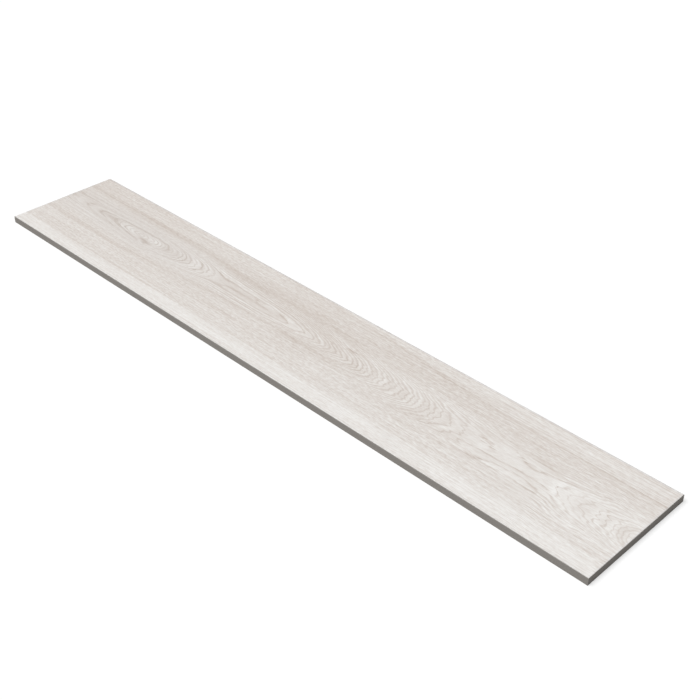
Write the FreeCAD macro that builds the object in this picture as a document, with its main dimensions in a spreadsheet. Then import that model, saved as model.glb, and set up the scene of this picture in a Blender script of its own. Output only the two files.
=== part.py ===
"""Rectified porcelain floor plank: a pressed and fired slab with bevelled top edges and a keyed back.

The plank lies on its back. X runs along it, Y across it and Z up, from the middle of the underside.
"""
import FreeCAD, Part
import Sketcher
import os

# Driving dimensions, in millimetres and degrees
DIMENSIONS = {
    "plank_length": 900,     # long way of the face
    "plank_width": 150,      # short way of the face
    "plank_thickness": 8.5,  # from the ribs of the back up to the face
    "arris": 0.5,            # bevel ground along the four top edges
    "cell_side": 20,         # mouth of one square recess in the back
    "cell_depth": 0.7,       # how far a recess goes into the back
    "cell_draft": 40,        # slope of its walls, which lets the press plate come free
    "rib": 5,                # land left between two recesses
    "back_margin": 12,       # least plain border round the field of recesses
}

NODE = "plank_tile"
SHEET = "Dimensions"

# Expressions that the recesses of the back share
PITCH = f"({SHEET}.cell_side + {SHEET}.rib)"
HALF_MOUTH = f"{SHEET}.cell_side / 2"
HALF_FLOOR = f"({HALF_MOUTH} - {SHEET}.cell_depth * tan({SHEET}.cell_draft))"

# A sketch's own two axes, and the start and end of one of its lines
LEVEL_AXIS = -1
UPRIGHT_AXIS = -2
START = 1
END = 2


def make_sheet(doc):
    """Write every driving dimension to the sheet under its own alias."""
    sheet = doc.addObject("Spreadsheet::Sheet", SHEET)
    for row, (name, value) in enumerate(DIMENSIONS.items(), start=1):
        sheet.set(f"A{row}", name)
        sheet.set(f"B{row}", str(value))
        sheet.setAlias(f"B{row}", name)
    doc.recompute()


def origin_feature(body, role):
    """Plane or axis of a body's own origin."""
    return next(item for item in body.Origin.OriginFeatures if item.Role == role)


def attach(item, body, role):
    """Lay a sketch or a primitive on one of the body's own planes."""
    item.AttachmentSupport = [(origin_feature(body, role), "")]
    item.MapMode = "FlatFace"


def draw_outline(sketch):
    """Rectangle about the origin, as long and as wide as the plank."""
    half_x = DIMENSIONS["plank_length"] / 2
    half_y = DIMENSIONS["plank_width"] / 2
    corners = [(-half_x, -half_y), (half_x, -half_y), (half_x, half_y), (-half_x, half_y)]
    points = [FreeCAD.Vector(x, y, 0) for x, y in corners]
    sides = [sketch.addGeometry(Part.LineSegment(*ends)) for ends in zip(points, points[1:] + points[:1])]
    for here, after in zip(sides, sides[1:] + sides[:1]):
        sketch.addConstraint(Sketcher.Constraint("Coincident", here, END, after, START))
    front, near_end, back, _ = sides
    for side, axis in ((front, UPRIGHT_AXIS), (back, UPRIGHT_AXIS), (near_end, LEVEL_AXIS)):
        sketch.addConstraint(Sketcher.Constraint("Symmetric", side, START, side, END, axis))
    for kind, side, alias in (("DistanceX", front, "plank_length"), ("DistanceY", near_end, "plank_width")):
        size = Sketcher.Constraint(kind, side, START, side, END, DIMENSIONS[alias])
        sketch.setExpression(f"Constraints[{sketch.addConstraint(size)}]", f"{SHEET}.{alias}")


def make_slab(body):
    """Plain slab, before its edges are ground."""
    outline = body.newObject("Sketcher::SketchObject", "outline")
    attach(outline, body, "XY_Plane")
    draw_outline(outline)
    slab = body.newObject("PartDesign::Pad", "slab")
    slab.Profile = outline
    slab.setExpression("Length", f"{SHEET}.plank_thickness")
    body.Document.recompute()
    return slab


def grind_arris(body, slab):
    """Bevel along the four edges of the face."""
    face_height = slab.Shape.BoundBox.ZMax
    top_edges = []
    for number, edge in enumerate(slab.Shape.Edges, start=1):
        if abs(edge.BoundBox.ZMin - face_height) < Part.Precision.confusion():
            top_edges.append(f"Edge{number}")
    bevel = body.newObject("PartDesign::Chamfer", "ground_arris")
    bevel.Base = (slab, top_edges)
    bevel.setExpression("Size", f"{SHEET}.arris")
    body.Document.recompute()
    return bevel


def cells_in(span):
    """Expression for how many recesses fit between the two borders of a span."""
    return f"floor(({SHEET}.{span} - 2 * {SHEET}.back_margin + {SHEET}.rib) / {PITCH})"


def reach(span):
    """Expression for the way from the middle of a span to its first or last recess."""
    return f"({cells_in(span)} - 1) / 2 * {PITCH}"


def press_first_cell(body):
    """Recess at the far front corner: a square mouth in the underside that narrows to its floor.

    The wedge lies on the plane of X and Z, so its own Y is the height and its own Z runs to the front.
    """
    cell = body.newObject("PartDesign::SubtractiveWedge", "cell")
    attach(cell, body, "XZ_Plane")
    cell.setExpression(".AttachmentOffset.Base.x", f"-{reach('plank_length')}")
    cell.setExpression(".AttachmentOffset.Base.z", reach("plank_width"))
    cell.Ymin = 0
    cell.setExpression("Ymax", f"{SHEET}.cell_depth")
    for level, half in (("", HALF_MOUTH), ("2", HALF_FLOOR)):
        for axis in "XZ":
            cell.setExpression(f"{axis}{level}min", f"-{half}")
            cell.setExpression(f"{axis}{level}max", half)
    body.Document.recompute()
    return cell


def row_of_cells(body, name, axis, span):
    """Even spacing of as many recesses as fit in one direction."""
    row = body.newObject("PartDesign::LinearPattern", name)
    row.Direction = (origin_feature(body, axis), [""])
    row.Mode = "Spacing"
    row.setExpression("Offset", PITCH)
    row.setExpression("Occurrences", cells_in(span))
    return row


def press_back(body):
    """Field of recesses with sloping walls, which the mortar keys into."""
    cell = press_first_cell(body)
    field = body.newObject("PartDesign::MultiTransform", "keyed_back")
    field.Originals = [cell]
    field.Transformations = [
        row_of_cells(body, "cells_along", "X_Axis", "plank_length"),
        row_of_cells(body, "cells_across", "Y_Axis", "plank_width"),
    ]
    body.Tip = field
    body.Document.recompute()
    return field


def check(doc, body, steps):
    """Stop before anything is written if a feature failed, the solid isn't sound or a cut took nothing."""
    failed = [item.Name for item in doc.Objects if {"Invalid", "Error"} & set(item.State)]
    if failed:
        raise RuntimeError("failed features: " + ", ".join(failed))
    if body.Shape.isNull() or not body.Shape.isValid() or len(body.Shape.Solids) != 1:
        raise RuntimeError(f"{body.Label} is not one sound solid")
    for before, after in zip(steps, steps[1:]):
        if after.Shape.Volume >= before.Shape.Volume:
            raise RuntimeError(f"{after.Name} took nothing off {before.Name}")


def main():
    doc = FreeCAD.newDocument("plank")
    make_sheet(doc)
    body = doc.addObject("PartDesign::Body", NODE)
    body.Label = NODE
    slab = make_slab(body)
    bevel = grind_arris(body, slab)
    field = press_back(body)
    check(doc, body, [slab, bevel, field])
    os.makedirs("parts", exist_ok=True)
    body.Shape.exportStep(f"parts/{body.Label}.step")


main()
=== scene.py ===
"""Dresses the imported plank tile: a whitewashed oak print under a matt glaze, on a fired grey body."""

import bpy
import numpy as np
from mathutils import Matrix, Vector


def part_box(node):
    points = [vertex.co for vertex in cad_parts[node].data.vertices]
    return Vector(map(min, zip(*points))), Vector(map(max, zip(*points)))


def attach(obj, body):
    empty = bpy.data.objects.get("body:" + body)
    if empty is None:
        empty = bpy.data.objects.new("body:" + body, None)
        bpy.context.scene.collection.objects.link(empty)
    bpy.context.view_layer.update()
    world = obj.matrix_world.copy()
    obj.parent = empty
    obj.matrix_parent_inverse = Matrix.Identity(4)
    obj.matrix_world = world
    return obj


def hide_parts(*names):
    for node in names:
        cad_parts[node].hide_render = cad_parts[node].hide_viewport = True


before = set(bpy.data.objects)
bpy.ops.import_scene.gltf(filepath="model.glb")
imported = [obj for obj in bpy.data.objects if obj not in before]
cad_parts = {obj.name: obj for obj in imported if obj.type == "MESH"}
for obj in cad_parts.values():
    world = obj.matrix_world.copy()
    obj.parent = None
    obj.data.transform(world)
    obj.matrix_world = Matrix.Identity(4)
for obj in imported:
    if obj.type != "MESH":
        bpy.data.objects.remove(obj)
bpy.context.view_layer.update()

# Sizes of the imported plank. The print is laid out in millimetres from its far front corner.
MM = 0.001
NODE = "plank_tile"
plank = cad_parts[NODE]
low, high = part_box(NODE)
LENGTH = (high.x - low.x) / MM
WIDTH = (high.y - low.y) / MM
BED, CELL_FLOOR, ARRIS_FOOT, FACE = sorted({round(v.co.z, 6) for v in plank.data.vertices})
ARRIS = FACE - ARRIS_FOOT

# Points that lie closer together than this, in metres, are one point
CLOSE = 1e-5

# The grid of the face. Its rows are closest where the rings are: (share of the rows, place across)
COLUMNS = 450
ROWS = 190
ROW_PLACES = ((0, 0), (0.2, 46), (0.8, 106), (1, WIDTH))

# How deep the rings are pressed in, how many steps the arris has, and how far it swells over a plain bevel
RELIEF = 0.05 * MM
ARRIS_STEPS = 4
ARRIS_CROWN = 0.2 * ARRIS

# Zones of the mesh, with the printed face in two halves
FAR_FACE, NEAR_FACE, BACK_ZONE, FRONT_ZONE, NEAR_ZONE, REAR_ZONE, FAR_ZONE = range(7)
FACES = (FAR_FACE, NEAR_FACE)

# Where each zone lies on the flat map: left, bottom, width and height
MAP_PLACES = {
    FAR_FACE: (0, 0, 2, 0.36),
    NEAR_FACE: (-1, 0.37, 2, 0.36),
    BACK_ZONE: (0, 0.74, 1, 0.18),
    FRONT_ZONE: (0, 0.93, 1, 0.018),
    REAR_ZONE: (0, 0.953, 1, 0.018),
    NEAR_ZONE: (0, 0.976, 0.48, 0.018),
    FAR_ZONE: (0.52, 0.976, 0.48, 0.018),
}

# A line through given (along, value) points is softened over so many millimetres to either side
SOFTEN = 8

# Growth rings: the ring number along the heart line, and where that line runs across the plank
RING_AHEAD = (
    (0, 10.1), (38, 9), (67, 8), (100, 7), (138, 3.5), (155, 1.5), (184, 4.5), (201, 7), (206, 8), (226, 10),
    (241, 12), (260, 14), (271, 15), (292, 17), (305, 17.5), (345, 17.45), (400, 17.5), (420, 17.75),
    (430, 18.05), (449, 18.5), (464, 19.1), (485, 21), (500, 23), (529, 26), (545, 28), (558, 30), (589, 34),
    (617, 37), (637, 40), (663, 43), (680, 44), (696, 45), (732, 46), (776, 46.5), (802, 46.4), (811, 46),
    (829, 45), (841, 44), (857, 43), (867, 42), (878, 41), (889, 39), (900, 37),
)
HEART_LINE = (
    (0, 89), (160, 87), (290, 88), (340, 86), (430, 83), (520, 79), (600, 76), (700, 75), (777, 75.5),
    (812, 75), (841, 71.5), (860, 70), (900, 67),
)

# How wide a ring is on the back and on the front side of the heart line, and how square the rings' ends are
RING_WIDTH_ABOVE = (
    (0, 1.43), (250, 1.3), (330, 1.35), (400, 1.4), (450, 1.4), (500, 1.45), (560, 1.2), (600, 1.08),
    (630, 0.97), (660, 0.95), (700, 1.05), (860, 1.15), (880, 1.0), (900, 0.85),
)
RING_WIDTH_BELOW = (
    (0, 1.43), (250, 1.3), (330, 1.35), (400, 1.3), (430, 1.05), (500, 1.05), (550, 0.95), (620, 0.85),
    (700, 0.9), (777, 1.5), (830, 1.4), (860, 1.0), (900, 0.8),
)
SQUARENESS = (
    (0, 2.6), (300, 2.4), (430, 2.0), (480, 1.6), (530, 1.7), (580, 2.2), (650, 2.5), (700, 2.3), (750, 1.9),
    (830, 2.0), (860, 2.3), (900, 2.3),
)

# A second nose of the rings in front of the heart line: how many rings it runs ahead, and where it lies
SIDE_NOSE = ((570, 0), (620, 0.8), (700, 1.4), (750, 0.9), (790, 0))
SIDE_NOSE_PLACE = 58.0
SIDE_NOSE_HALF_WIDTH = 4.0

# The rings' dark lines: depth in levels of 255, half width in millimetres, and the widest in rings
LINE_DEPTH = 26.0
LINE_HALF_WIDTH = ((0, 0.95), (600, 0.95), (720, 0.8), (900, 0.75))
WIDEST_LINE = 0.26

# Lines packed as close as the finest fade to the faintest, and lines as far apart as the clear ones are full
FINEST_LINE, CLEAR_LINE = 0.7, 3.2
FAINTEST_LINE = 0.1

# How strong each ring's line is: by chance, apart from the rings that are faint
RING_SEED = 11
WEAKEST_RING, STRONGEST_RING = 0.75, 1.15
FAINT_RINGS = {7: 0.5, 8: 0.5, 9: 0.4, 10: 0.4, 17: 0.6, 18: 0.8, 44: 0.8, 45: 0.7}

# How clear the rings are drawn along the plank
CLEARNESS = (
    (0, 1), (430, 1), (450, 0.85), (600, 0.85), (695, 0.95), (720, 0.3), (803, 0.2), (809, 1.3), (818, 1.0),
    (826, 0.8), (848, 0.8), (860, 1.0), (878, 0.95), (888, 0.65), (900, 0.5),
)

# How far the rings zigzag, in rings, along the plank. Rings farther apart than the reach waver less.
ZIGZAG = (
    (0, 0.2), (190, 0.2), (280, 0.5), (440, 0.7), (560, 0.8), (620, 1.5), (740, 1.5), (820, 1.6), (850, 2.2),
    (880, 2.2), (900, 1.6),
)
WOBBLE_REACH = 9.0

# The flecks calm down to a share of their strength between rings that lie from so far to so far apart
CALM_FROM, CALM_TO, CALM_SHARE = 1.2, 4.0, 0.4

# Fibres of the print: they slip along the plank and take the stain unevenly, more so towards the near end
FIBRE_SEED = 3
FIBRE_LENGTH, FIBRE_WIDTH = 14.0, 1.3
FIBRE_SLIP, FIBRE_CHANGE = 3.0, 0.45
ROUGHNESS_ALONG = ((0, 0.1), (280, 0.2), (450, 0.7), (560, 1), (900, 1))

# How strong the fine pores are along the plank, in levels
PORES_ALONG = ((0, 8), (250, 8), (450, 16), (600, 30), (700, 45), (820, 45), (900, 32))

# The lift in level along the whole plank
TONE_ALONG = ((0, -1), (200, 0), (300, -0.3), (450, -0.7), (560, 0.4), (625, 1.4), (720, 5.6), (900, 5.6))

# The pale sapwood along the front edge
SAPWOOD_EDGE = ((0, 18), (300, 19.5), (450, 21.5), (650, 24), (800, 23), (900, 20.5))
SAPWOOD_SOFTNESS = ((0, 1.2), (450, 1.6), (650, 3), (800, 3), (900, 2))
SAPWOOD_LIFT = 13.5
SAPWOOD_CALM = 0.3

# How far the heart reaches to either side of its line, and how sharply it ends
HEART_REACH = 27.0
HEART_SHARPNESS = 4

# How much greyer and calmer the heart is round the first eye than the rest of the print
EYE_ALONG = ((0, 0.6), (60, 1), (210, 1), (300, 0.4), (420, 0))
EYE_GREY, EYE_CALM = 0.16, 0.4

# How much greyer and, in levels, darker the print is at the rim of the face, and how far in that reaches
RIM_GREY, RIM_DROP, RIM_REACH = 0.75, 5.0, 2.6

# Where the grain runs in long straight streaks: towards the near end, along the back edge
STREAKY_ALONG = ((0, 0), (600, 0), (700, 1), (900, 1))
STREAKY_FROM, STREAKY_TO = 116.0, 128.0
STREAKY_GAIN, STREAKY_CALM = 0.6, 0.3

# The slope of a stroke is taken over so many millimetres to either side
SLOPE_REACH = 0.5

# Soft strokes of the print: half width, then (along, across, lift in levels of 255)
BANDS = (
    # Long dark streaks
    (4.0, ((0, 121.7, -15), (60, 121, -14), (150, 119.8, -12), (240, 119.5, -12), (285, 116, -12),
           (310, 112.5, -12), (360, 110.8, -9), (420, 113, -6), (470, 112, -8), (535, 108, -4),
           (600, 106, 0))),
    (1.8, ((480, 144, 0), (528, 139.5, -7), (585, 135.5, -10), (627, 129.5, -12), (690, 126, -11),
           (760, 124, -13), (840, 123.5, -14), (900, 122.8, -12))),
    (2.5, ((0, 52.5, -15), (100, 51.3, -16), (160, 50.5, -14), (200, 54, -9), (250, 58, -3.5),
           (300, 62, -7.5), (340, 65, -11.5), (400, 66, -8), (440, 66.7, -9), (485, 64.5, -8),
           (518, 68, -8), (540, 73, -5), (570, 76, 0))),
    (1.0, ((60, 20.5, 0), (110, 20.5, -8), (200, 20, -8), (300, 21, -6), (420, 23, 0))),
    (1.3, ((400, 24, 0), (435, 25, -5), (585, 24.5, -5), (640, 27, -4), (690, 33.5, -8),
           (740, 34, -8), (780, 32, -3), (830, 30, -6), (870, 28, -6), (900, 22.5, -7))),
    # Along the back
    (12, ((0, 112, -2), (300, 112, -3), (400, 114, -5), (500, 113, -4), (600, 112, 0))),
    (11, ((480, 122, 0), (560, 118, -4), (650, 115.5, -6), (800, 114.5, -6), (900, 114.5, -6))),
    (14, ((0, 140, -5.5), (70, 140, -3.5), (180, 139, -1.5), (230, 138, 1.5), (340, 138, 2),
          (400, 140, 0))),
    (9, ((430, 142, 0), (480, 142, 2.5), (640, 141, 3), (740, 140, 4.5), (820, 139, 3), (900, 137, 2))),
    (3.5, ((270, 127.5, 0), (310, 127.5, -4), (450, 128, -4), (640, 128, -5), (680, 128, 0))),
    (3, ((300, 147.5, -3), (440, 147.5, -4), (470, 147, 0))),
    (2, ((720, 148, 0), (760, 148, -5), (900, 148, -5))),
    (4, ((800, 133, 0), (850, 133, -3.5), (900, 133, -4.5))),
    (4, ((290, 134, 0), (310, 134, -3), (390, 134, -3), (410, 134, 0))),
    (4, ((0, 105, -3), (80, 105, -2.5), (110, 105, 0))),
    (5, ((635, 104, 0), (660, 105, -3), (700, 110, -3), (740, 114, -3), (760, 114, 0))),
    # The first eye
    (9, ((0, 94, -5), (40, 94, -3), (80, 95, 0))),
    (5.5, ((60, 88.5, 0), (69, 88, -13), (95, 87, -13), (104, 82, -6), (130, 77, 0))),
    (16, ((20, 88, 0), (60, 88, -3.5), (220, 88, -3), (280, 88, 0))),
    (8, ((182, 87, 0), (194, 87, -5), (206, 87, -7), (228, 87, -6), (245, 87, 0))),
    (7, ((30, 89, 0), (42, 89, -5), (60, 88.5, -5), (68, 88, 0))),
    # The second eye
    (6, ((296, 90, 0), (312, 89, -5), (350, 85, -8), (415, 83.5, -9), (428, 83, 0))),
    (4, ((300, 104, 0), (330, 103.5, -5), (370, 103, -6), (450, 99.5, -6), (500, 97.5, -3),
         (540, 95, 0))),
    (7, ((400, 93, 0), (440, 93, -3), (520, 89, -3), (560, 86, 0))),
    (4, ((430, 63.5, 0), (450, 63.5, -6), (505, 65.5, -4), (540, 68, 0))),
    (4, ((300, 96, 0), (320, 96, 4), (390, 94, 4), (410, 93, 0))),
    # The column of nested rings in the middle
    (6, ((525, 99, 0), (560, 98.5, 4), (600, 99, 5), (680, 98, 3), (720, 97, 0))),
    (12, ((530, 78, 0), (550, 78, 3), (588, 78, 3), (604, 78, 0), (612, 76, -2.5), (645, 75, -2.5),
          (656, 75, 0))),
    (8, ((526, 78, 0), (534, 78, -7), (548, 78, -6), (566, 78, 0))),
    (4, ((600, 58, 0), (630, 61, -5), (660, 61, -6), (690, 60, 0))),
    (6, ((490, 104, 0), (505, 104, 2.5), (545, 104, 2.5), (560, 104, 0))),
    # The saddle and the eye at the near end
    (8.5, ((690, 61, 0), (725, 61, 8), (750, 60, 13), (785, 60, 13), (810, 58, 7), (860, 56, 1.5),
           (880, 56, 0))),
    (4.5, ((690, 85, 0), (720, 85, 5), (745, 84.5, 12), (785, 84.5, 11), (805, 83, 4), (830, 87, 3),
           (900, 88, 3))),
    (6, ((690, 74, 0), (705, 74, 6), (715, 75, 9), (725, 75, 9), (734, 74, 0))),
    (4, ((690, 99, 0), (728, 97, -4), (750, 94.5, -7), (790, 94, -7), (805, 93.5, 0))),
    (9, ((810, 76, 0), (815, 76, 7), (826, 75, 6), (840, 74, 3), (865, 73, 3), (880, 71, 0))),
    (7, ((866, 69, 0), (884, 68, -3), (900, 67, -6))),
    (7, ((670, 87, 0), (700, 87, 2.5), (900, 88, 3))),
    (30, ((760, 55, 0), (850, 55, 5), (900, 55, 6))),
    # The field between the heart and the sapwood
    (16, ((200, 38, 0), (260, 38, 2.5), (360, 38, 2), (430, 38, 3.5), (500, 37, 5.5), (580, 37, 4.5),
          (630, 38, 0))),
    (14, ((0, 36, 3.5), (120, 36, 3.5), (200, 36, 0))),
    (4, ((600, 42, 0), (650, 42, 4), (780, 41, 4), (900, 41, 4))),
    (6, ((470, 54, 0), (500, 54, 3.5), (545, 54, 3.5), (570, 54, 0))),
    (4, ((0, 44, 3), (90, 44, 3), (115, 44, 0))),
    # The sapwood
    (7, ((150, 12, 0), (190, 12, 2.5), (280, 12, 4.5), (390, 12, 4.5), (430, 11, 2.5), (560, 11, 2.5),
         (640, 11, 0))),
    (2, ((640, 2, 0), (700, 1.5, -8), (900, 1.5, -10))),
    (4, ((545, 5, 0), (565, 5, -4), (600, 5, -4), (620, 5, -3), (900, 5, -3))),
    (4, ((570, 15, 0), (610, 15, 4), (720, 15, 3), (770, 15, 0))),
    (5, ((55, 14, 0), (80, 14, -4), (140, 14, -4), (165, 14, 0))),
)

# Fine strokes, in the same form. They waver by chance from step to step along the plank.
STROKE_SEED = 5
STROKE_STEP, STROKE_WANDER = 6.0, 0.35
LINES = (
    # The first eye, with its knot
    (1.2, ((0, 100, -18), (30, 100, -16), (60, 100.5, -5), (90, 101, 0))),
    (2.2, ((0, 89.5, -16), (12, 90.5, -10), (18, 91, 0))),
    (1.0, ((30, 88.5, 0), (36, 87.8, -17), (42, 87, -17), (48, 87, 0))),
    (1.0, ((34, 90.5, 0), (40, 91, -14), (46, 92, -14), (50, 92, 0))),
    (1.1, ((62, 88, 0), (66, 88.5, -14), (72, 91.5, -11), (93, 93.3, -12), (117, 95.3, -18),
           (183, 95.8, -18), (200, 94.2, -16), (208, 89, -13), (210, 86, 0))),
    (1.1, ((97, 91, 0), (99, 90, -12), (104, 86, -8), (113, 82.5, -12), (130, 79, -19),
           (147, 76.7, -19), (162, 75.6, -14), (172, 75, 0))),
    (0.9, ((64, 87, 0), (72, 85, -8), (93, 79.5, -7), (117, 76.7, -6), (130, 76, 0))),
    (1.2, ((104, 88, 0), (109, 86, 8), (125, 82, 8), (140, 80.5, 0))),
    (1.8, ((122, 89, 0), (128, 88, 8), (140, 84, 8), (152, 81.5, 0))),
    (1.4, ((150, 86.5, 0), (165, 86.5, 7), (190, 89, 8), (196, 90, 0))),
    (2.0, ((156, 82.5, 0), (161, 82, -20), (166, 81, -34), (172, 80, -40), (177, 79.5, -30),
           (182, 80, -10), (186, 80.5, 0))),
    (1.3, ((166, 78.5, 0), (170, 77.5, -16), (174, 75.5, -20), (177, 75, 0))),
    (0.9, ((160, 77.3, 0), (164, 76.5, 15), (170, 74.5, 15), (173, 74, 0))),
    # The second eye
    (1.0, ((288, 101.5, 0), (293, 100, -12), (301, 96, -12), (310, 93.5, -10), (323, 92.5, -9),
           (333, 92, -11), (337, 92, 0))),
    (1.4, ((340, 92, 0), (348, 91.8, -4), (364, 91, -7), (370, 90, -15), (373, 85.5, -16),
           (383, 84, -13), (394, 84.2, -17), (398, 84.2, 0))),
    (1.4, ((296, 80, 0), (304, 80.8, -10), (317, 81.7, -17), (322, 85, -15), (348, 85.6, -15),
           (365, 85.3, -12), (374, 84, 0))),
    (1.6, ((405, 88.5, 0), (415, 87, -9), (424, 85, -13), (429, 83, -13), (432, 82, 0))),
    (1.3, ((270, 104, 0), (285, 103.3, 9), (300, 102, 12), (313, 100, 13), (350, 98, 13),
           (385, 95, 13), (407, 91.5, 12), (427, 88, 8), (447, 85, 6), (455, 84, 0))),
    (1.2, ((325, 77, 0), (345, 75.5, 10), (410, 75, 12), (435, 78.5, 9), (450, 83, 6), (456, 84, 0))),
    # Two lone dashes
    (1.2, ((336, 46, 0), (350, 46, -15), (375, 45.5, -15), (385, 45.5, 0))),
    (1.4, ((511, 96, 0), (517, 95.4, -29), (523, 94.6, -31), (529, 94, 0))),
    # The saddle
    (1.1, ((690, 97, 0), (727, 91.7, -14), (755, 89.5, -15), (761, 85, -20), (772, 79.5, -22),
           (780, 79, -22), (790, 82, -20), (805, 85, -15), (825, 89, -12), (850, 95, -9),
           (880, 98, 0))),
    (2.4, ((756, 85.5, 0), (763, 83, -13), (776, 81, -12), (783, 80, 0))),
    (0.9, ((765, 97, 0), (775, 97, -12), (795, 97, -12), (803, 97, 0))),
    (1.2, ((760, 92.5, 0), (768, 92.2, -18), (795, 92, -20), (806, 90.5, 0))),
    (2.1, ((711, 85, 0), (717, 83.5, -22), (723, 81.5, -27), (728, 79, -26), (732, 75.5, -22),
           (737, 73.5, 0))),
    (1.2, ((726, 69.5, 0), (730, 70, -10), (738, 71.5, -9), (744, 72.5, 0))),
    (1.6, ((716, 53, 0), (722, 53.5, -10), (734, 55, -16), (740, 57, -14), (743, 58, 0))),
    (1.0, ((680, 63, 0), (718, 65, -16), (743, 66, -17), (763, 68, -18), (793, 68, -20),
           (805, 65, -20), (817, 60, -20), (830, 55, -12), (850, 50, 0))),
    (1.0, ((712, 53, 0), (722, 54, -18), (738, 56.5, -22), (743, 60, -18), (777, 62.5, -19),
           (793, 59.5, -20), (807, 55.5, -19), (830, 50, 0))),
    (1.0, ((680, 51.7, 0), (720, 51.7, -15), (777, 53.8, -21), (797, 53, -21), (820, 49, 0))),
)

# Grain of the print: the length and width of its specks in millimetres, and the width of a streak in rings
DASH_SIZE = (18, 3.2, 0)
SWAY_SIZE = (40, 6, 0)
PATCH_SIZE = (30, 4, 0)
FLECK_SIZE = (5.5, 1.45, 0)
THREAD_SIZE = (5, 0.4, 0)
PORE_SIZE = (10, 0.8, 0)
STREAK_SIZE = (140, 1.4, 0)
STREAK_RINGS = 1.6

# How much fine detail the grain has, and a turn so that its cells do not line up across the plank
SMOOTH, PLAIN, ROUGH = 1.0, 2.0, 3.0
GRAIN_TURN = (0.6, 0.5, 0.7)

# How strong the grain is, in levels, and how unevenly it lets the rings and the strokes show
STREAK_LEVELS, FLECK_LEVELS, THREAD_LEVELS = 46.0, 60.0, 20.0
LINE_FLECKS, LINE_PATCHES, TONE_PATCHES = 2.2, 1.2, 0.8

# Colours of the print, in levels of 255: a scale that spans so many levels, with plain wood in its middle
LEVEL_SPAN = 60
MIDDLE = 0.5
PRINT_COLOURS = (
    (0.0, (198, 185, 174.5)),
    (0.5, (224.2, 217.6, 211.7)),
    (0.75, (236.6, 233, 228.8)),
    (1.0, (247.5, 245.8, 242.8)),
)

# The glaze: roughness, how much the flecks change it, and the depth and strength of its bump
GLAZE_ROUGHNESS, GLAZE_FLECKS = 0.5, 0.25
GLAZE_BUMP_DEPTH, GLAZE_BUMP_STRENGTH = 0.05, 0.4

# The fired body: specks all through, marks of the grinding wheel along the edges, and its surface
SPECK_SIZE, SPECK_SHARE = (0.7, 0.7, 0.7), 0.7
GRIND_SIZE, GRIND_SHARE = (35, 35, 0.35), 0.5
BODY_COLOURS = ((0.0, (142, 137, 131.5)), (1.0, (172, 167, 161.5)))
BODY_ROUGHNESS, BODY_SPECKS = 0.8, 0.3
BODY_SHINE = 0.2
BODY_BUMP_DEPTH, BODY_BUMP_STRENGTH = 0.08, 0.3

# Light, floor and camera
VIEW_FROM = Vector((0.8102, -0.7228, 0.7513))
VIEW_ALONG = Vector((-1, 1, -1))
LENS = 61.02
LAMP_FROM = Vector((-0.25, -0.38, 0.9))
LAMP_SPREAD = 0.7
LAMP_STRENGTH = 2.5
FILL = 0.22
FLOOR_SIZE = 12.0
FLOOR_COLOUR = (0.5, 0.5, 0.5, 1)
FLOOR_GLOW = 0.565
WHITE = (1, 1, 1, 1)


def smooth_line(points, along):
    """A soft line through given (along, value) points."""
    places, values = zip(*points)
    fine = np.arange(-SOFTEN, LENGTH + SOFTEN + 1)
    window = np.hanning(2 * SOFTEN + 1)
    soft = np.convolve(np.interp(fine, places, values), window / window.sum(), "valid")
    return np.interp(along, fine[SOFTEN:-SOFTEN], soft)


def ring_number(along, across):
    """Counts growth rings outward from the heart line. Whole numbers are the dark lines."""
    aside = across - smooth_line(HEART_LINE, along)
    width = np.where(aside > 0, smooth_line(RING_WIDTH_ABOVE, along), smooth_line(RING_WIDTH_BELOW, along))
    power = smooth_line(SQUARENESS, along)
    rings = (smooth_line(RING_AHEAD, along) ** power + (abs(aside) / width) ** power) ** (1 / power)
    nose = np.exp(-(((across - SIDE_NOSE_PLACE) / SIDE_NOSE_HALF_WIDTH) ** 2))
    return rings - smooth_line(SIDE_NOSE, along) * nose


def line_depth(rings, spacing):
    """How dark each ring's line is, in levels: rings differ, and packed lines fade out."""
    chance = np.random.default_rng(RING_SEED)
    strength = chance.uniform(WEAKEST_RING, STRONGEST_RING, int(rings.max()) + 2)
    for ring, value in FAINT_RINGS.items():
        strength[ring] = value
    clear = np.clip((spacing - FINEST_LINE) / (CLEAR_LINE - FINEST_LINE), FAINTEST_LINE, 1)
    return LINE_DEPTH * strength[np.rint(rings).astype(int)] * clear


def line_width(along, spacing):
    """Half the width of a ring's line, in rings: the same in millimetres, until the lines are packed."""
    return np.minimum(smooth_line(LINE_HALF_WIDTH, along) / spacing, WIDEST_LINE)


def sapwood_share(along, across):
    """1 in the pale sapwood, 0 in the heartwood."""
    beyond = (across - smooth_line(SAPWOOD_EDGE, along)) / smooth_line(SAPWOOD_SOFTNESS, along)
    return 1 / (1 + np.exp(beyond))


def heart_share(along, across):
    """1 near the heart line, 0 well away from it."""
    aside = across - smooth_line(HEART_LINE, along)
    return np.exp(-((aside / HEART_REACH) ** HEART_SHARPNESS))


def rim_share(along, across):
    """1 at the edges of the face, 0 from a little way in."""
    beside = np.minimum(along, LENGTH - along)
    inward = np.minimum(beside, np.minimum(across, WIDTH - across))
    return np.clip(1 - inward / RIM_REACH, 0, 1)


def stroke(half_width, points, along, across):
    """The lift in level that one stroke gives: full on its middle line, soft to either side."""
    places, middles, lifts = zip(*points)
    rise = np.interp(along + SLOPE_REACH, places, middles) - np.interp(along - SLOPE_REACH, places, middles)
    slope = rise / (2 * SLOPE_REACH)
    aside = (across - np.interp(along, places, middles)) / (half_width * np.hypot(1, slope))
    return np.interp(along, places, lifts) * np.exp(-(aside**2))


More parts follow.
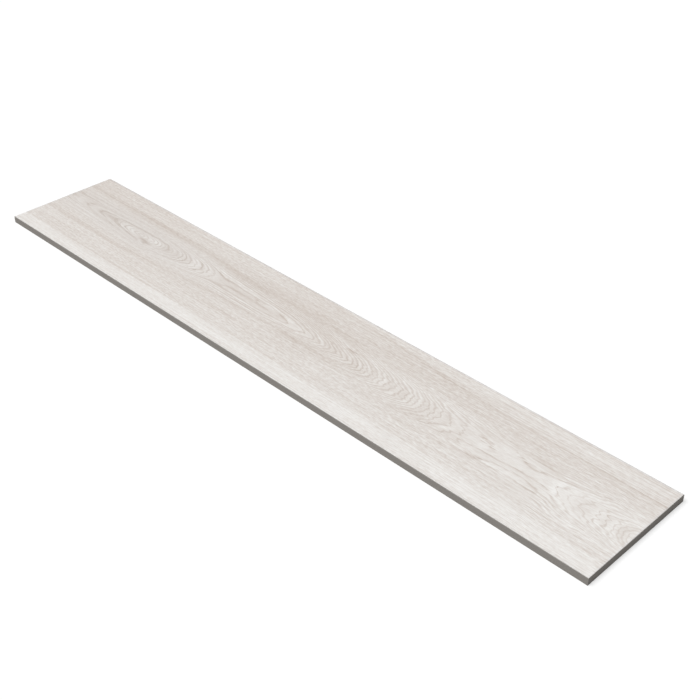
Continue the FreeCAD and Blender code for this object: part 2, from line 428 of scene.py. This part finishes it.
def fibres(along, across):
    """How far each fibre of the print has slipped along the plank, and how well it took the stain."""
    chance = np.random.default_rng(FIBRE_SEED)
    rows = (across / FIBRE_WIDTH).astype(int)
    starts = chance.uniform(0, FIBRE_LENGTH, rows.max() + 1)
    columns = ((along + starts[rows]) / FIBRE_LENGTH).astype(int)
    shape = (columns.max() + 1, rows.max() + 1)
    slips = chance.normal(0, FIBRE_SLIP, shape)
    changes = chance.normal(0, FIBRE_CHANGE, shape)
    rough = smooth_line(ROUGHNESS_ALONG, along)
    return rough * slips[columns, rows], 1 + rough * changes[columns, rows]


def broad_tone(along, across):
    """The lift or drop in level along the whole plank, and that the sapwood and the strokes give."""
    tone = smooth_line(TONE_ALONG, along) + SAPWOOD_LIFT * sapwood_share(along, across)
    chance = np.random.default_rng(STROKE_SEED)
    knots = np.arange(0, LENGTH + STROKE_STEP, STROKE_STEP)
    slip, strength = fibres(along, across)
    for half_width, points in BANDS:
        tone += stroke(half_width, points, along + slip, across)
    for half_width, points in LINES:
        wander = np.interp(along, knots, chance.normal(0, STROKE_WANDER, knots.size))
        tone += strength * stroke(half_width, points, along + slip, across + wander)
    return tone


def print_values(columns, rows):
    """What the print is like at each point of a grid, given where its columns and rows lie."""
    along, across = np.meshgrid(columns, rows, indexing="ij")
    rings = ring_number(along, across)
    spacing = 1 / np.hypot(*np.gradient(rings, columns, rows))
    wobble = np.minimum(1, WOBBLE_REACH / spacing)
    heart = heart_share(along, across)
    eye = heart * smooth_line(EYE_ALONG, along)
    rim = rim_share(along, across)
    streaky = smooth_line(STREAKY_ALONG, along) * np.interp(across, (STREAKY_FROM, STREAKY_TO), (0, 1))
    calm = np.interp(spacing, (CALM_FROM, CALM_TO), (1, CALM_SHARE))
    calm *= 1 - SAPWOOD_CALM * sapwood_share(along, across)
    calm *= 1 - STREAKY_CALM * streaky
    calm *= 1 - EYE_CALM * eye
    return {
        "ring": rings,
        "line_depth": line_depth(rings, spacing) * smooth_line(CLEARNESS, along),
        "line_width": line_width(along, spacing),
        "wobble": wobble,
        "zigzag": smooth_line(ZIGZAG, along) * wobble,
        "tone": broad_tone(along, across) - RIM_DROP * rim,
        "calm": calm,
        "pores": calm * smooth_line(PORES_ALONG, along),
        "heart": heart,
        "streaky": 1 + STREAKY_GAIN * streaky,
        "colourfulness": (1 - EYE_GREY * eye) * (1 - RIM_GREY * rim),
    }


def add_face(points, faces, zones):
    """Lays the printed face as a grid with its rings pressed in, and returns the print's values there."""
    border = ARRIS / MM
    columns = np.linspace(border, LENGTH - border, COLUMNS + 1)
    rows = np.interp(np.linspace(0, 1, ROWS + 1), *zip(*ROW_PLACES))
    rows = np.clip(rows, border, WIDTH - border)
    values = print_values(columns, rows)
    sink = np.cos(2 * np.pi * values["ring"]) * values["line_depth"] / LINE_DEPTH
    height = FACE - RELIEF * np.clip(0.5 + 0.5 * sink, 0, 1)
    along, across = np.meshgrid(columns, rows, indexing="ij")
    places = np.stack([low.x + along * MM, low.y + across * MM, height], -1)
    points.extend(map(tuple, places.reshape(-1, 3)))
    step = ROWS + 1
    for column in range(COLUMNS):
        for row in range(ROWS):
            corner = column * step + row
            faces.append((corner, corner + step, corner + step + 1, corner + 1))
            zones.append(FAR_FACE if column < COLUMNS / 2 else NEAR_FACE)
    return values


def arris_line(points, border, share, place):
    """One line of points along the arris beside a border of the face: share is 0 there and 1 at its foot."""
    step = ROWS + 1
    crown = ARRIS_CROWN * np.sin(np.pi * share)
    out = ARRIS * share + crown
    line = []
    for index in border:
        x, y, z = points[index]
        end_x = (index // step == COLUMNS) - (index // step == 0)
        end_y = (index % step == ROWS) - (index % step == 0)
        level = z + (ARRIS_FOOT - z) * share + crown
        line.append(place((x + end_x * out, y + end_y * out, level)))
    return line


def add_edges(points, faces, zones, place):
    """Runs the ground arris round the face and drops the four edges to the bed."""
    step = ROWS + 1
    last = COLUMNS * step
    sides = (
        (FRONT_ZONE, range(0, last + 1, step), (low.x, low.y), (high.x, low.y)),
        (NEAR_ZONE, range(last, last + step), (high.x, low.y), (high.x, high.y)),
        (REAR_ZONE, range(last + ROWS, -1, -step), (high.x, high.y), (low.x, high.y)),
        (FAR_ZONE, range(ROWS, -1, -1), (low.x, high.y), (low.x, low.y)),
    )
    for zone, border, first_corner, second_corner in sides:
        previous = list(border)
        for number in range(1, ARRIS_STEPS + 1):
            line = arris_line(points, border, number / ARRIS_STEPS, place)
            for near, far, far_out, near_out in zip(previous, previous[1:], line[1:], line):
                faces.append((near, near_out, far_out, far))
                zones.append(zone)
            previous = line
        foot = [place((*corner, BED)) for corner in (first_corner, second_corner)]
        faces.append((*foot, *reversed(previous)))
        zones.append(zone)


def add_back(faces, zones, place):
    """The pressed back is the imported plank's own: its faces below the edges."""
    corners = [tuple(v.co) for v in plank.data.vertices]
    for polygon in plank.data.polygons:
        spots = [corners[i] for i in polygon.vertices]
        if max(spot[2] for spot in spots) < CELL_FLOOR + CLOSE:
            faces.append(tuple(place(spot) for spot in spots))
            zones.append(BACK_ZONE)


def bake_place(zone, spot):
    """Where a point of a zone lies on the flat map that its colours are baked through."""
    along = (spot[0] - low.x) / (high.x - low.x)
    across = (spot[1] - low.y) / (high.y - low.y)
    up = (spot[2] - BED) / (FACE - BED)
    left, bottom, wide, tall = MAP_PLACES[zone]
    first = across if zone in (NEAR_ZONE, FAR_ZONE) else along
    second = across if zone in (*FACES, BACK_ZONE) else up
    return left + wide * first, bottom + tall * second


def make_plank():
    """Builds the dressed plank as one closed mesh."""
    points, faces, zones = [], [], []
    known = {}

    def place(spot):
        """The number of the point at a spot, which is added if it is new."""
        key = tuple(round(value / CLOSE) for value in spot)
        if key not in known:
            known[key] = len(points)
            points.append(tuple(spot))
        return known[key]

    values = add_face(points, faces, zones)
    add_edges(points, faces, zones, place)
    add_back(faces, zones, place)
    mesh = bpy.data.meshes.new("dressed_plank")
    mesh.from_pydata(points, [], faces)
    for name, grid in values.items():
        filled = np.zeros(len(points))
        filled[: grid.size] = grid.ravel()
        mesh.attributes.new(name, "FLOAT", "POINT").data.foreach_set("value", filled)
    mesh.polygons.foreach_set("use_smooth", [zone in FACES for zone in zones])
    mesh.polygons.foreach_set("material_index", [int(zone not in FACES) for zone in zones])
    flat = mesh.uv_layers.new(name="OFBake")
    for polygon, zone in zip(mesh.polygons, zones):
        for loop in polygon.loop_indices:
            flat.uv[loop].vector = bake_place(zone, points[mesh.loops[loop].vertex_index])
    piece = bpy.data.objects.new("dressed_plank", mesh)
    bpy.context.scene.collection.objects.link(piece)
    return piece


class Finish:
    """A material with its shader and short ways to add nodes to it."""

    def __init__(self, name):
        self.material = bpy.data.materials.new(name)
        self.material.use_nodes = True
        self.nodes = self.material.node_tree.nodes
        self.shader = self.nodes["Principled BSDF"]
        self.spot = self.nodes.new("ShaderNodeTexCoord").outputs["Object"]

    def feed(self, socket, value):
        """Links a node's output to a socket, or sets the socket to a plain value."""
        if isinstance(value, bpy.types.NodeSocket):
            self.material.node_tree.links.new(value, socket)
        else:
            socket.default_value = value

    def sum(self, kind, *values):
        """One step of arithmetic."""
        node = self.nodes.new("ShaderNodeMath")
        node.operation = kind
        for socket, value in zip(node.inputs, values):
            self.feed(socket, value)
        return node.outputs[0]

    def value(self, name):
        """A value that the mesh carries at its points."""
        node = self.nodes.new("ShaderNodeAttribute")
        node.attribute_name = name
        return node.outputs["Fac"]

    def noise(self, place, detail):
        """Noise at a place, from about -0.5 to 0.5."""
        node = self.nodes.new("ShaderNodeTexNoise")
        self.feed(node.inputs["Vector"], place)
        node.inputs["Scale"].default_value = 1.0
        node.inputs["Detail"].default_value = detail
        return self.sum("SUBTRACT", node.outputs["Fac"], 0.5)

    def grain(self, size, detail=PLAIN):
        """Noise whose specks have the given size in millimetres: 0 leaves a direction out."""
        stretch = self.nodes.new("ShaderNodeMapping")
        self.feed(stretch.inputs["Vector"], self.spot)
        stretch.inputs["Scale"].default_value = [1 / (MM * edge) if edge else 0 for edge in size]
        stretch.inputs["Rotation"].default_value = GRAIN_TURN
        return self.noise(stretch.outputs[0], detail)

    def streaks(self, ring, rings, length):
        """Noise that runs along the rings, with specks so many rings wide and millimetres long."""
        parts = self.nodes.new("ShaderNodeSeparateXYZ")
        self.feed(parts.inputs[0], self.spot)
        flow = self.nodes.new("ShaderNodeCombineXYZ")
        self.feed(flow.inputs[0], self.sum("DIVIDE", ring, rings))
        self.feed(flow.inputs[1], self.sum("DIVIDE", parts.outputs[0], length * MM))
        return self.noise(flow.outputs[0], PLAIN)

    def fade(self, value, end):
        """Falls softly from 1 where a value is 0, to 0 where it reaches an end."""
        node = self.nodes.new("ShaderNodeMapRange")
        node.interpolation_type = "SMOOTHSTEP"
        self.feed(node.inputs["Value"], value)
        self.feed(node.inputs["From Max"], end)
        node.inputs["To Min"].default_value = 1.0
        node.inputs["To Max"].default_value = 0.0
        return node.outputs[0]

    def ramp(self, value, stops):
        """Turns a value from 0 to 1 into a colour by (place, colour in levels) stops."""
        node = self.nodes.new("ShaderNodeValToRGB")
        elements = node.color_ramp.elements
        while len(elements) < len(stops):
            elements.new(0.5)
        for element, (place, levels) in zip(elements, stops):
            element.position = place
            element.color = (*colour(*levels), 1)
        self.feed(node.inputs[0], value)
        return node.outputs["Color"]

    def tint(self, shade, colourfulness):
        """Greys a colour: 1 leaves it as it is."""
        node = self.nodes.new("ShaderNodeHueSaturation")
        self.feed(node.inputs["Color"], shade)
        self.feed(node.inputs["Saturation"], colourfulness)
        return node.outputs[0]

    def bump(self, height, depth, strength):
        """Presses a height into the shading."""
        node = self.nodes.new("ShaderNodeBump")
        node.inputs["Distance"].default_value = depth * MM
        node.inputs["Strength"].default_value = strength
        self.feed(node.inputs["Height"], height)
        self.feed(self.shader.inputs["Normal"], node.outputs[0])


def colour(red, green, blue):
    """A colour given in levels of 255, as the shader wants it."""
    shares = np.array([red, green, blue]) / 255
    return tuple(np.where(shares < 0.04045, shares / 12.92, ((shares + 0.055) / 1.055) ** 2.4))


def ring_lines(finish, ring, fleck, patch):
    """The rings' lines, less what they darken on the whole, and broken up by the flecks and patches."""
    dash = finish.grain(DASH_SIZE)
    sway = finish.grain(SWAY_SIZE, SMOOTH)
    shift = finish.sum("MULTIPLY_ADD", dash, finish.value("wobble"), ring)
    shift = finish.sum("MULTIPLY_ADD", sway, finish.value("zigzag"), shift)
    aside = finish.sum("ABSOLUTE", finish.sum("WRAP", shift, 0.5, -0.5))
    full_width = finish.sum("MULTIPLY", finish.value("line_width"), 2.0)
    line = finish.sum("SUBTRACT", finish.fade(aside, full_width), full_width)
    uneven = finish.sum("MULTIPLY_ADD", patch, LINE_PATCHES, 1.0)
    uneven = finish.sum("MULTIPLY_ADD", fleck, LINE_FLECKS, uneven)
    return finish.sum("MULTIPLY", line, uneven)


def long_streaks(finish, ring):
    """Streaks that bend with the rings in the heart and run straight beside it."""
    straight = finish.grain(STREAK_SIZE)
    bent = finish.streaks(ring, STREAK_RINGS, STREAK_SIZE[0])
    bend = finish.sum("SUBTRACT", bent, straight)
    return finish.sum("MULTIPLY_ADD", bend, finish.value("heart"), straight)


def glaze():
    """The whitewashed oak print under its matt glaze."""
    finish = Finish("oak_print_glaze")
    ring = finish.value("ring")
    patch = finish.grain(PATCH_SIZE)
    fleck = finish.grain(FLECK_SIZE)
    thread = finish.grain(THREAD_SIZE)
    pore = finish.grain(PORE_SIZE, SMOOTH)
    streak = long_streaks(finish, ring)
    line = ring_lines(finish, ring, fleck, patch)
    uneven = finish.sum("MULTIPLY_ADD", patch, TONE_PATCHES, 1.0)
    streak_levels = finish.sum("MULTIPLY", finish.value("streaky"), STREAK_LEVELS)
    fleck_levels = finish.sum("MULTIPLY", finish.value("calm"), FLECK_LEVELS)
    level = finish.sum("MULTIPLY", line, finish.sum("MULTIPLY", finish.value("line_depth"), -1.0))
    level = finish.sum("MULTIPLY_ADD", finish.value("tone"), uneven, level)
    level = finish.sum("MULTIPLY_ADD", streak, streak_levels, level)
    level = finish.sum("MULTIPLY_ADD", fleck, fleck_levels, level)
    level = finish.sum("MULTIPLY_ADD", thread, THREAD_LEVELS, level)
    level = finish.sum("MULTIPLY_ADD", pore, finish.value("pores"), level)
    level = finish.sum("MULTIPLY_ADD", level, 1 / LEVEL_SPAN, MIDDLE)
    shade = finish.tint(finish.ramp(level, PRINT_COLOURS), finish.value("colourfulness"))
    finish.feed(finish.shader.inputs["Base Color"], shade)
    roughness = finish.sum("MULTIPLY_ADD", fleck, GLAZE_FLECKS, GLAZE_ROUGHNESS)
    finish.feed(finish.shader.inputs["Roughness"], roughness)
    finish.bump(finish.sum("ADD", fleck, thread), GLAZE_BUMP_DEPTH, GLAZE_BUMP_STRENGTH)
    return finish.material


def body():
    """The fired body where the edges are ground and the back is bare."""
    finish = Finish("fired_body")
    speck = finish.grain(SPECK_SIZE, ROUGH)
    grind = finish.grain(GRIND_SIZE)
    level = finish.sum("MULTIPLY_ADD", speck, SPECK_SHARE, MIDDLE)
    level = finish.sum("MULTIPLY_ADD", grind, GRIND_SHARE, level)
    finish.feed(finish.shader.inputs["Base Color"], finish.ramp(level, BODY_COLOURS))
    roughness = finish.sum("MULTIPLY_ADD", speck, BODY_SPECKS, BODY_ROUGHNESS)
    finish.feed(finish.shader.inputs["Roughness"], roughness)
    finish.shader.inputs["Specular IOR Level"].default_value = BODY_SHINE
    finish.bump(finish.sum("ADD", speck, grind), BODY_BUMP_DEPTH, BODY_BUMP_STRENGTH)
    return finish.material


def white_to_the_eye(material_or_world):
    """Tells eye, mirror and glass rays from the rays that carry light between surfaces."""
    nodes = material_or_world.node_tree.nodes
    links = material_or_world.node_tree.links
    path = nodes.new("ShaderNodeLightPath")
    seen = path.outputs["Is Camera Ray"]
    for name in ("Is Glossy Ray", "Is Transmission Ray"):
        either = nodes.new("ShaderNodeMath")
        either.operation = "MAXIMUM"
        links.new(seen, either.inputs[0])
        links.new(path.outputs[name], either.inputs[1])
        seen = either.outputs[0]
    return seen


def make_world():
    """A soft even fill that looks white."""
    world = bpy.data.worlds.new("studio")
    world.use_nodes = True
    bpy.context.scene.world = world
    background = world.node_tree.nodes["Background"]
    background.inputs["Color"].default_value = WHITE
    strength = world.node_tree.nodes.new("ShaderNodeMapRange")
    strength.inputs["To Min"].default_value = FILL
    strength.inputs["To Max"].default_value = 1.0
    world.node_tree.links.new(white_to_the_eye(world), strength.inputs["Value"])
    world.node_tree.links.new(strength.outputs[0], background.inputs["Strength"])


def floor_finish():
    """A dull pale material that looks white where the light reaches it."""
    material = bpy.data.materials.new("pale_floor")
    material.use_nodes = True
    shader = material.node_tree.nodes["Principled BSDF"]
    shader.inputs["Base Color"].default_value = FLOOR_COLOUR
    shader.inputs["Roughness"].default_value = 1.0
    shader.inputs["Specular IOR Level"].default_value = 0.0
    shader.inputs["Emission Color"].default_value = WHITE
    strength = material.node_tree.nodes.new("ShaderNodeMath")
    strength.operation = "MULTIPLY"
    strength.inputs[1].default_value = FLOOR_GLOW
    material.node_tree.links.new(white_to_the_eye(material), strength.inputs[0])
    material.node_tree.links.new(strength.outputs[0], shader.inputs["Emission Strength"])
    return material


def make_floor():
    """A plain floor under the plank that keeps its shadow."""
    half = FLOOR_SIZE / 2
    corners = [(-half, -half, BED), (half, -half, BED), (half, half, BED), (-half, half, BED)]
    mesh = bpy.data.meshes.new("floor")
    mesh.from_pydata(corners, [], [(0, 1, 2, 3)])
    mesh.materials.append(floor_finish())
    floor = bpy.data.objects.new("floor", mesh)
    bpy.context.scene.collection.objects.link(floor)


def make_lamp():
    """One broad soft lamp overhead, a little to the front, that lights the whole floor evenly."""
    data = bpy.data.lights.new("soft_lamp", "SUN")
    data.angle = LAMP_SPREAD
    data.energy = LAMP_STRENGTH
    lamp = bpy.data.objects.new("soft_lamp", data)
    lamp.location = LAMP_FROM
    lamp.rotation_euler = LAMP_FROM.to_track_quat("Z", "Y").to_euler()
    bpy.context.scene.collection.objects.link(lamp)


def make_camera():
    """The photograph's view."""
    data = bpy.data.cameras.new("camera")
    data.lens = LENS
    camera = bpy.data.objects.new("camera", data)
    camera.location = VIEW_FROM
    camera.rotation_euler = VIEW_ALONG.to_track_quat("-Z", "Y").to_euler()
    bpy.context.scene.collection.objects.link(camera)
    bpy.context.scene.camera = camera


bpy.context.scene.view_settings.view_transform = "Standard"
make_camera()
make_world()
make_floor()
make_lamp()
tile = make_plank()
tile.data.materials.append(glaze())
tile.data.materials.append(body())
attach(tile, "root")
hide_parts(NODE)
